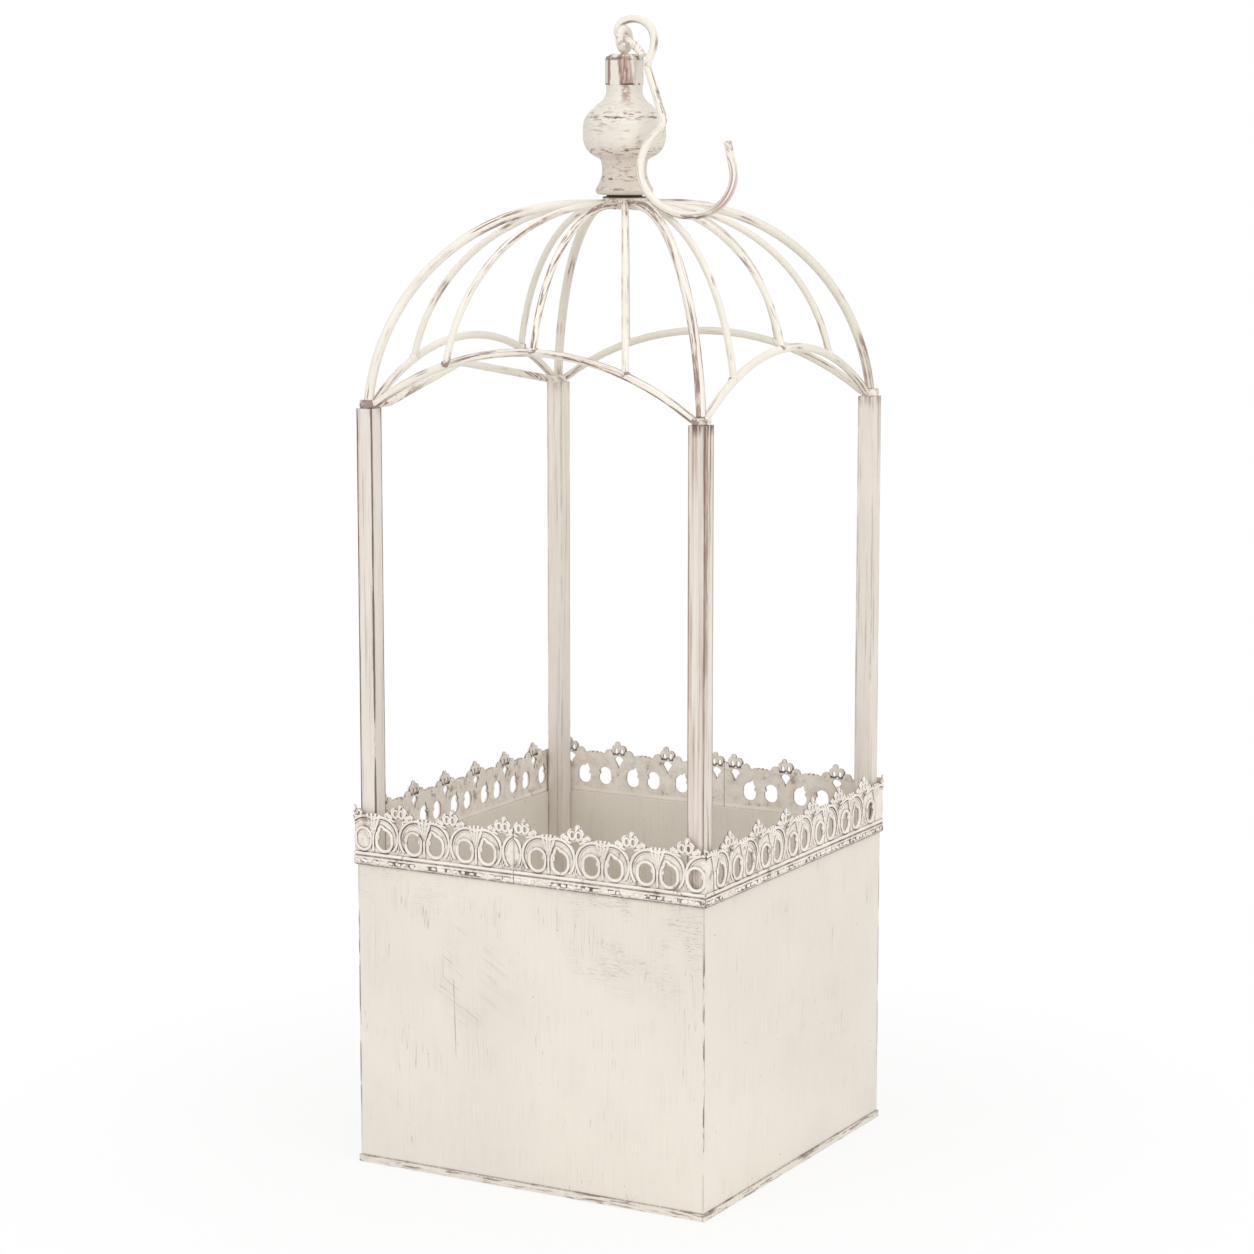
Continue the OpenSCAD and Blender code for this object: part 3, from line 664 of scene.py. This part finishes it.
finialCoat = {
    "gloss": 0.5, "roughness": (0.26, 0.2), "clouds": (0.05, 3),
    # painted shade: the bulb is darker from its middle down to its neck
    "waist": (tone(206, 193, 178), (524, 510), 0.45),
    "turning": (0.9, 1.1, 0), "turningNoise": (1, 4, 0.65),
    "dull": (tone(214, 203, 191), (0.45, 0.25), 0.35),
    "cuts": (3.4, 0.75, 7), "cutNoise": (1, 4, 0.7), "where": (0.07, 3), "whereEdges": (0.5, 0.62),
    # scratches gather in belts: at the shoulder, under the belly, at the neck and at the foot
    "shoulder": (534.5, (2.4, 0.8)), "belly": (517, (2.6, 0.5)), "bellyShare": 0.8,
    "neck": (503.5, (2, 0.5)), "foot": (498, (1.6, 0.2)), "footShare": 0.7,
    "roseFrom": (0.47, 0.58), "roseShares": (0.2, 0.55),
    "umberFrom": (0.54, 0.59), "umberShares": (0.35, 0.85),
    "drip": tone(150, 112, 96), "dripTurn": 0.97, "dripWaver": 0.6, "dripWidth": (0.34, 0.1),
    "dripUp": (536, 548), "dripBreaks": (0.4, 0.52), "dripShare": 0.8,
    "turningHeight": 0.6, "scratchHeight": 0.6,
}


def finialPaint():
    coat = finialCoat
    paint = Paint("finialPaint", coat)
    z = paint.z
    azimuth = paint.y.angle(paint.x)

    def around(turn, up, seed):  # coordinates that follow the turned surface
        return paint.vector(azimuth * turn, z * up, seed)

    clouds = paint.mottled(*coat["clouds"])
    paint.start(creamCool, cream, clouds.step(*softClouds))
    # painted shade on the bulb's lower half
    paint.layWhere(z, *coat["waist"])
    turning = paint.noise(around(*coat["turning"]), *coat["turningNoise"])
    paint.layWhere(turning, *coat["dull"])
    where = paint.mottled(*coat["where"]).step(*coat["whereEdges"])
    cuts = paint.noise(around(*coat["cuts"]), *coat["cutNoise"])
    belts = z.near(*coat["shoulder"]) + z.near(*coat["belly"]) * coat["bellyShare"]
    belts = belts + z.near(*coat["neck"])
    belts = (belts + z.near(*coat["foot"]) * coat["footShare"]).least(1)
    anywhere, inBelts = coat["roseShares"]
    share = (where * anywhere + belts * inBelts).least(1)
    paint.lay(rose, cuts.step(*coat["roseFrom"]) * share)
    scratch = cuts.step(*coat["umberFrom"])
    anywhere, inBelts = coat["umberShares"]
    share = (where * anywhere + belts * inBelts).least(1)
    paint.lay(umber, scratch * share)
    # a run of brown under the cap's worn facet
    aside = abs(azimuth + coat["dripTurn"] + (turning - 0.5) * coat["dripWaver"])
    drip = aside.step(*coat["dripWidth"]) * z.step(*coat["dripUp"])
    drip = drip * cuts.step(*coat["dripBreaks"]) * coat["dripShare"]
    paint.lay(coat["drip"], drip)
    height = turning * coat["turningHeight"] - scratch * coat["scratchHeight"]
    return paint.finish(turning, height)


capCoat = {
    "gloss": 0.45, "roughness": (0.38, 0.2), "clouds": (0.1, 3), "streaks": (0.9, 0.09, 5, 0.7),
    "stripe": tone(186, 154, 143), "stripeTurn": 0.99, "stripeMiddle": 558, "stripeLean": 0.012,
    "stripeWaver": 0.7, "stripeWidth": (0.42, 0.3), "stripeBreaks": (0.34, 0.48),
    "stripeShare": 0.85,
    "lowerSlope": 12, "lower": (561, 553), "lowerMore": 0.05, "russetFrom": (0.51, 0.6),
    "russetShare": 0.75, "umber": (umber, (0.6, 0.68), 0.5),
    "breaks": (0.3, 4), "facets": 8, "cornerTurn": 140,
    "leftWay": (0.87, 0.48), "left": (2, -8),
    "cornerBreaks": 0.8, "cornerLeft": 0.4, "cornerFrom": (1.12, 1.42),
    "corner": tone(132, 100, 92), "cornerShares": (0.35, 0.5),
    "crown": (563.3, (1.4, 0.5)), "crownLeft": 0.16, "crownFrom": (0.45, 0.57),
    "crownShare": 0.85, "seam": (551.3, 550.5), "seamBreaks": (0.4, 0.5), "seamShare": 0.9,
}


def capPaint():
    coat = capCoat
    paint = Paint("capPaint", coat)
    x, y, z = paint.x, paint.y, paint.z
    azimuth = y.angle(x)
    paint.start(creamCool, cream, paint.mottled(*coat["clouds"]))
    streaks = paint.grain(*coat["streaks"])
    slope = (z - coat["stripeMiddle"]) * coat["stripeLean"]
    aside = azimuth + coat["stripeTurn"] + slope + (streaks - 0.5) * coat["stripeWaver"]
    stripe = abs(aside).step(*coat["stripeWidth"])
    rubbed = stripe * streaks.step(*coat["stripeBreaks"])
    paint.lay(coat["stripe"], rubbed * coat["stripeShare"])
    lower = (z + aside * coat["lowerSlope"]).step(*coat["lower"])
    bare = stripe * (streaks + lower * coat["lowerMore"]).step(*coat["russetFrom"])
    paint.lay(russet, bare * coat["russetShare"])
    paint.layWhere(streaks, *coat["umber"])
    # the corners between the facets and the crown's edge are rubbed, most on the left
    corner = (azimuth * coat["facets"] - math.radians(coat["cornerTurn"])).cosine()
    broken = paint.mottled(*coat["breaks"])
    wayX, wayY = coat["leftWay"]
    left = (x * wayX + y * wayY).step(*coat["left"])
    rubbed = corner + broken * coat["cornerBreaks"] + left * coat["cornerLeft"]
    rubbed = rubbed.step(*coat["cornerFrom"])
    everywhere, moreLeft = coat["cornerShares"]
    paint.lay(coat["corner"], rubbed * (everywhere + left * moreLeft))
    crown = z.near(*coat["crown"])
    crown = crown * (broken + left * coat["crownLeft"]).step(*coat["crownFrom"])
    paint.lay(umber, crown * coat["crownShare"])
    seam = z.step(*coat["seam"]) * broken.step(*coat["seamBreaks"])
    paint.lay(darkBrown, seam * coat["seamShare"])
    return paint.finish(streaks, streaks)


hubCoat = {
    "gloss": 0.4, "roughness": (0.4, 0.2), "wear": 0.8, "turn": -45,
    # seam is a painted shadow: the hub's top, in the gap under the finial, is laid near black
    "seam": (tone(40, 30, 26), (493.2, 494), 0.95),
}


def hubPaint():
    paint = Paint("hubPaint", hubCoat)
    route = ribRoute("corner", math.radians(hubCoat["turn"]))
    streaks, height = wireBase(paint, route(paint), hubCoat["wear"])
    # painted shadow in the gap under the finial
    paint.layWhere(paint.z, *hubCoat["seam"])
    return paint.finish(streaks, height)


weldCoat = {
    "gloss": 0.45, "roughness": (0.36, 0.3), "depth": 0.0003, "mottle": (0.35, 4, 0.65),
    "left": (-60, -85), "leftMore": 0.16, "front": (-60, -90), "frontMore": 0.04,
    "russet": (russet, (0.5, 0.6), 0.8),
}


def weldPaint():  # the welds of the front left post are the brownest
    coat = weldCoat
    paint = Paint("weldPaint", coat)
    mottle = paint.mottled(*coat["mottle"])
    paint.start(creamCool, creamPale, mottle)
    left = paint.x.step(*coat["left"]) * paint.y.step(*coat["left"])
    front = paint.y.step(*coat["front"])
    wear = mottle + left * coat["leftMore"] + front * coat["frontMore"]
    paint.layWhere(wear, *coat["russet"])
    return paint.finish(mottle, mottle)


eyeCoat = {
    "gloss": 0.45, "roughness": (0.34, 0.2), "mottle": (0.22, 4), "rose": (rose, (0.62, 0.7), 0.7),
}


def eyePaint():
    paint = Paint("eyePaint", eyeCoat)
    mottle = paint.mottled(*eyeCoat["mottle"])
    paint.start(creamCool, cream, mottle)
    paint.layWhere(mottle, *eyeCoat["rose"])
    return paint.finish(mottle, mottle)


nutCoat = {
    "metal": 1, "roughness": (0.35, 0.3), "depth": 0.00005,
    "tones": (tone(150, 146, 140), tone(110, 104, 98)), "turning": (1.6, 3),
}


def nutSteel():
    paint = Paint("nutSteel", nutCoat)
    turning = paint.mottled(*nutCoat["turning"])
    paint.start(*nutCoat["tones"], turning)
    return paint.finish(turning, turning)


sides = ["front", "right", "back", "left"]
cornerTurns = {"front_right": -45, "back_right": 45, "back_left": 135, "front_left": -135}
wear = {
    "corner": {"front_right": 1.2, "back_right": 0.35, "back_left": 0.35, "front_left": 0.5},
    "rib": {"front_1": 0.55, "front_2": 1.1, "front_3": 0.6}, "otherRibs": 0.35,
    "frontArch": 0.8, "backArch": 0.45, "sideArch": 0.35,
}
ribFeet = ((-48, 2, 53), (-61, -10, 44), (-40, 51), (-55, 51))  # along each side, from its middle
dress(panelPaint(), "base_pan", *[side + "_panel" for side in sides])
gallerySkin = galleryPaint()
dress(gallerySkin, "gallery_right", "gallery_left")
dress(postPaint(), *["post_" + corner for corner in cornerTurns])
for corner, turn in cornerTurns.items():
    route = ribRoute("corner", math.radians(turn))
    ribSkin = wirePaint("cornerRibPaint_" + corner, route, wear["corner"][corner])
    dress(ribSkin, "rib_corner_" + corner)
for i, side in enumerate(sides):
    for k, foot in enumerate(ribFeet[i], 1):
        rib = f"{side}_{k}"
        route = ribRoute("face", math.atan2(-postMiddle, foot) + math.radians(90 * i))
        ribSkin = wirePaint("faceRibPaint_" + rib, route, wear["rib"].get(rib, wear["otherRibs"]))
        dress(ribSkin, "rib_" + rib)
dress(hubPaint(), "hub")
dress(wirePaint("frontArchPaint", archRoute("x"), wear["frontArch"]), "arch_front")
dress(wirePaint("backArchPaint", archRoute("x"), wear["backArch"]), "arch_back")
sideArchSkin = wirePaint("sideArchPaint", archRoute("y"), wear["sideArch"])
dress(sideArchSkin, "arch_left", "arch_right", "brace_left")
dress(finialPaint(), "finial")
dress(capPaint(), "finial_cap")
dress(hookPaint(), "hook")
dress(eyePaint(), "eye_bolt")
dress(nutSteel(), "hub_nut")


print("stage 4: welds")
welds = {
    "kinds": 4, "lump": 0.001, "fineness": 3, "dent": 0.00032, "dentEven": 0.1, "dentOut": 0.4,
    "smooth": 0.6, "smoothTimes": 3, "seed": 5,
    "archRadius": 154.63, "wireRadius": 2,
    "footSize": (3.3, 2.7, 2.4), "footVary": (0.88, 1.15), "footStray": 0.5, "footRise": 0.9,
    "postSize": (5.6, 5.0, 3.4), "postVary": (0.92, 1.06), "postHeight": 391.6, "postTurn": 45,
}


def turned(i):  # the four sides in order: front, right, back, left
    return Matrix.Rotation(math.radians(90 * i), 4, "Z")


def copied(source, matrix):
    copy = source.copy()
    copy.data = source.data.copy()
    bpy.context.scene.collection.objects.link(copy)
    copy.data.transform(matrix)
    return copy


def joined(parts):
    deselect()
    for part in parts:
        part.select_set(True)
    bpy.context.view_layer.objects.active = parts[0]
    bpy.ops.object.join()
    return bpy.context.object


def pieceOf(name, parts, material, body="frame"):
    piece = joined(parts)
    piece.name = piece.data.name = name
    piece.data.materials.clear()
    piece.data.materials.append(material)
    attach(piece, body)
    deselect()


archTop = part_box("arch_front")[1][2] * metre - welds["wireRadius"]


def archHeight(offset):
    radius = welds["archRadius"]
    return archTop - radius + math.sqrt(radius ** 2 - offset ** 2)


def lumpOfWeld(seed):  # an ico sphere about 1 mm in radius, dented
    deselect()
    bpy.ops.mesh.primitive_ico_sphere_add(subdivisions=welds["fineness"], radius=welds["lump"])
    lump = bpy.context.object
    bpy.ops.object.mode_set(mode="EDIT")
    bpy.ops.mesh.select_all(action="SELECT")
    bpy.ops.transform.vertex_random(
        offset=welds["dent"], uniform=welds["dentEven"], normal=welds["dentOut"], seed=seed)
    bpy.ops.mesh.vertices_smooth(factor=welds["smooth"], repeat=welds["smoothTimes"])
    bpy.ops.object.mode_set(mode="OBJECT")
    rounding = lump.modifiers.new("round", "SUBSURF")
    rounding.levels = rounding.render_levels = 1
    bpy.ops.object.modifier_apply(modifier="round")
    bpy.ops.object.shade_smooth()
    return lump


lumps = [lumpOfWeld(seed) for seed in range(welds["kinds"])]
chance = random.Random(welds["seed"])


def varied(size, limits):
    return [part * chance.uniform(*limits) for part in size]


def lumpAt(place, size, side, turn=0, tilt=0):
    return copied(
        lumps[chance.randrange(len(lumps))],
        turned(side) @ Matrix.Translation([part / metre for part in place])
        @ Matrix.Rotation(math.radians(turn), 4, "Z") @ Matrix.Rotation(math.radians(tilt), 4, "Y")
        @ Matrix.Diagonal((*size, 1)))


footLumps = []
postLumps = []
for side, feet in enumerate(ribFeet):
    for foot in feet:
        size = varied(welds["footSize"], welds["footVary"])
        slope = math.degrees(math.asin(foot / welds["archRadius"]))
        across = foot + chance.uniform(-welds["footStray"], welds["footStray"])
        place = (across, -postMiddle, archHeight(foot) + welds["footRise"])
        footLumps.append(lumpAt(place, size, side, tilt=slope))
    size = varied(welds["postSize"], welds["postVary"])
    place = (postMiddle, -postMiddle, welds["postHeight"])
    postLumps.append(lumpAt(place, size, side, turn=welds["postTurn"]))
weldSkin = weldPaint()
pieceOf("welds_ribs", footLumps, weldSkin)
pieceOf("welds_posts", postLumps, weldSkin)
for lump in lumps:
    bpy.data.objects.remove(lump)


print("stage 5: rolled edges and leaves of the gallery")
# A ridge's points are across, up from the strip's foot, and the ridge's radius there
gallery = {
    "sheet": 101, "low": 157.3, "pitch": 30.6, "repeats": range(-5, 6),
    "ridge": 0.001, "ridgeFineness": 2, "reach": 0.88, "proud": 0.1,
    # stretches of one strip: the side, where it starts and stops, and where its arches stand
    "stretches": ((0, -6.35, 101, 13.6), (1, -101, 101, 0), (2, -101, -6.65, -28.4)),
    "trim": (0.05, -0.02), "archHalf": 15.6, "fleurHalf": 8, "eyeletHalf": 4,
    "eyelet": (6.5, 13.8), "cornerEyelet": 95.8, "lastEyelet": -95.6,
    "rimHalf": (4.72, 5.72), "rim": 0.86, "rimPoints": 30,
    "peak": 2.1, "peakTurn": 108, "peakWidth": 15,
    "curl": ((-4.5, 4.2, 0.55), (-4.1, 3.1, 0.62), (-3.6, 2.2, 0.7), (-3.5, 1.4, 0.88),
             (-3.9, 0.7, 0.6), (-4.5, 0.5, 0.4)),
    # the arch's border and inner ridge: radius, thickness, and the angles where they begin and end
    "scallop": (5, 15.8), "arcs": ((9.85, 0.76, 225, 60), (8.3, 0.34, 178, 74)), "arcSteps": 20,
    # the fan's flutes: each leans, which spreads its points across and lowers its tip
    "leans": (-1.5, -0.5, 0.5, 1.5), "tip": 27.5, "tipFall": 0.35,
    "flute": ((0.45, 16.0, 0.35), (0.8, 18.6, 0.5), (1.3, 21.4, 0.68), (1.85, 24.0, 0.88)),
    "fluteTip": ((2.25, -1.3, 1.0), (2.4, -0.5, 0.85), (2.45, 0, 0.4)),
    "stem": ((0, 7.5, 0.45), (0, 8.8, 0.8), (0, 11.5, 0.7), (0, 13.4, 0.78), (0, 14.3, 1.05),
             (0, 15.2, 1.0), (0, 16.6, 0.6)),
    # the fleur's opening, side leaf, inner leaf and foot leaf stand on both sides of its middle
    "opening": ((1.75, 28.3), (1.4, 2.0), 0.42, 14),
    "sideLeaf": ((2.4, 24.2, 0.62), (4.3, 25.1, 0.8), (6.4, 24.9, 0.78), (7.9, 25.9, 0.7),
                 (8.0, 27.4, 0.64), (6.8, 28.2, 0.6), (5.7, 27.5, 0.55), (6.0, 26.7, 0.66)),
    "innerLeaf": ((2.6, 26.2, 0.5), (3.9, 27.8, 0.62), (4.2, 29.6, 0.66), (3.2, 31.0, 0.6),
                  (2.2, 31.2, 0.45)),
    "footLeaf": ((0.3, 8.0, 0.3), (0.9, 9.2, 0.5), (1.5, 10.4, 0.3)),
    "fleurTop": ((0, 30.2, 0.6), (0.6, 31.4, 0.95), (0.9, 32.4, 1.15), (1.0, 33.2, 0.6)),
    "fleurFoot": ((0, 8.4, 0.3), (0, 10.2, 0.6), (0, 12.4, 0.3)),
    "bandEdges": ((0.75, 0.55), (4.2, 0.5)),
    "padSize": (2.6, 0.5, 1.9), "padBevel": 0.0003, "padMargin": 2, "padOut": 0.5,
    "padHeight": 2.4, "padStray": 0.15, "padTilt": (-12, 18), "padLength": (0.7, 1.7),
    "padDepth": (0.7, 1.08), "padPitch": 4.2, "padPitchVary": (0.75, 1.25), "seed": 11,
}


def ridges(name, strands):  # a strand is closed or not, and a list of points
    deselect()
    curve = bpy.data.curves.new(name, "CURVE")
    curve.dimensions = "3D"
    curve.bevel_depth = gallery["ridge"]
    curve.bevel_resolution = gallery["ridgeFineness"]
    curve.use_fill_caps = True
    for closed, points in strands:
        line = curve.splines.new("POLY")
        line.points.add(len(points) - 1)
        for point, (across, up, radius) in zip(line.points, points):
            proud = min(gallery["proud"], gallery["reach"] - radius)
            out = gallery["sheet"] + proud
            point.co = (across / metre, -out / metre, (gallery["low"] + up) / metre, 1)
            point.radius = radius
        line.use_cyclic_u = closed
    piece = linked(name, curve)
    piece.select_set(True)
    bpy.context.view_layer.objects.active = piece
    bpy.ops.object.convert(target="MESH")
    bpy.ops.object.shade_smooth()
    return bpy.context.object


def flipped(strands):
    return [(closed, [(-across, up, radius) for across, up, radius in points])
            for closed, points in strands]


def eyeletRim(pointed):
    wide, high = gallery["rimHalf"]
    turn = 360 // gallery["rimPoints"]
    ring = []
    for degrees in range(0, 360, turn):
        angle = math.radians(degrees)
        offPeak = (degrees - gallery["peakTurn"]) / gallery["peakWidth"]
        radius = wide + (gallery["peak"] * math.exp(-offPeak ** 2) if pointed else 0)
        straight = (high - wide) * (1 if math.sin(angle) > 0 else -1)
        ring.append((
            radius * math.cos(angle), straight + radius * math.sin(angle), gallery["rim"]))
    return [(True, ring), (False, gallery["curl"])]


def archEdge():
    across, up = gallery["scallop"]
    steps = gallery["arcSteps"]
    strands = []
    for radius, thickness, first, last in gallery["arcs"]:
        angles = [math.radians(first + (last - first) * k / steps) for k in range(steps + 1)]
        left = [(False, [(-across + radius * math.cos(angle), up + radius * math.sin(angle),
                          thickness) for angle in angles])]
        strands += left + flipped(left)
    for lean in gallery["leans"]:
        tip = gallery["tip"] - gallery["tipFall"] * abs(lean)
        flute = [(spread * lean, height, radius) for spread, height, radius in gallery["flute"]]
        flute += [(spread * lean, tip + height, radius)
                  for spread, height, radius in gallery["fluteTip"]]
        strands.append((False, flute))
    strands.append((False, gallery["stem"]))
    return strands


def fleurEdge():
    (across, up), (wide, high), thickness, count = gallery["opening"]
    angles = [math.radians(360) * k / count for k in range(count)]
    opening = [(across + wide * math.cos(angle), up + high * math.sin(angle), thickness)
               for angle in angles]
    side = [(True, opening)]
    side += [(False, gallery[leaf]) for leaf in ("sideLeaf", "innerLeaf", "footLeaf")]
    middle = [(False, gallery[part]) for part in ("fleurTop", "fleurFoot")]
    return side + flipped(side) + middle


def bandPad():
    deselect()
    bpy.ops.mesh.primitive_cube_add(size=1 / metre)
    pad = bpy.context.object
    pad.data.transform(Matrix.Diagonal((*gallery["padSize"], 1)))
    bpy.ops.object.mode_set(mode="EDIT")
    bpy.ops.mesh.select_all(action="SELECT")
    bpy.ops.mesh.bevel(offset=gallery["padBevel"], segments=1, affect="EDGES")
    bpy.ops.object.mode_set(mode="OBJECT")
    return pad


def moved(across, out=0, up=0):
    return Matrix.Translation((across / metre, -out / metre, up / metre))


masters = {
    "rim": ridges("rim", eyeletRim(False)), "rimPointed": ridges("rimPointed", eyeletRim(True)),
    "arch": ridges("arch", archEdge()), "fleur": ridges("fleur", fleurEdge()), "pad": bandPad(),
}
masters["rim"].data.transform(Matrix.Diagonal((-1, 1, 1, 1)))
masters["rim"].data.flip_normals()
chance = random.Random(gallery["seed"])


def stamped(start, stop, shift):  # arches, eyelet rims and fleurs between start and stop
    def within(place, margin):
        return start - margin < place < stop + margin

    copies = []
    across, up = gallery["eyelet"]
    for k in gallery["repeats"]:
        middle = shift + k * gallery["pitch"]
        if within(middle, gallery["archHalf"]):
            copies.append(copied(masters["arch"], moved(middle)))
        for hand, kind in ((-1, "rim"), (1, "rimPointed")):
            place = middle + hand * across
            if within(place, -gallery["eyeletHalf"]):
                place = max(place, gallery["lastEyelet"])
                copies.append(copied(masters[kind], moved(place, 0, up)))
        place = middle + gallery["pitch"] / 2
        if within(place, gallery["fleurHalf"]):
            copies.append(copied(masters["fleur"], moved(place)))
    return copies


def pads(start, stop):
    copies = []
    place = start + gallery["padMargin"]
    while place < stop - gallery["padMargin"]:
        stray = chance.uniform(-gallery["padStray"], gallery["padStray"])
        tilt = chance.uniform(*gallery["padTilt"])
        length = chance.uniform(*gallery["padLength"])
        depth = chance.uniform(*gallery["padDepth"])
        up = gallery["low"] + gallery["padHeight"] + stray
        copies.append(copied(
            masters["pad"],
            moved(place, gallery["sheet"] + gallery["padOut"], up)
            @ Matrix.Rotation(math.radians(tilt), 4, "Y") @ Matrix.Diagonal((length, 1, depth, 1))))
        place += gallery["padPitch"] * chance.uniform(*gallery["padPitchVary"])
    return copies


for half, ending in ((0, "right"), (2, "left")):  # the left strip is the right one turned round
    stretches = []
    for side, start, stop, shift in gallery["stretches"]:
        copies = stamped(start, stop, shift)
        if side == 0:
            place = moved(gallery["cornerEyelet"], 0, gallery["eyelet"][1])
            copies.append(copied(masters["rim"], place))
        copies.append(ridges("bandEdges", [
            (False, [(start, up, radius), (stop, up, radius)])
            for up, radius in gallery["bandEdges"]]))
        copies += pads(start, stop)
        stretch = joined(copies)
        bpy.ops.object.mode_set(mode="EDIT")
        first, last = gallery["trim"]
        for cut, outward in ((start + first, -1), (stop + last, 1)):
            bpy.ops.mesh.select_all(action="SELECT")
            bpy.ops.mesh.bisect(
                plane_co=(cut / metre, 0, 0), plane_no=(outward, 0, 0), use_fill=True,
                clear_outer=True)
        bpy.ops.object.mode_set(mode="OBJECT")
        stretch.data.transform(turned(side + half))
        stretches.append(stretch)
    pieceOf("gallery_edges_" + ending, stretches, gallerySkin)
for master in masters.values():
    bpy.data.objects.remove(master)

print("stage 6: close")
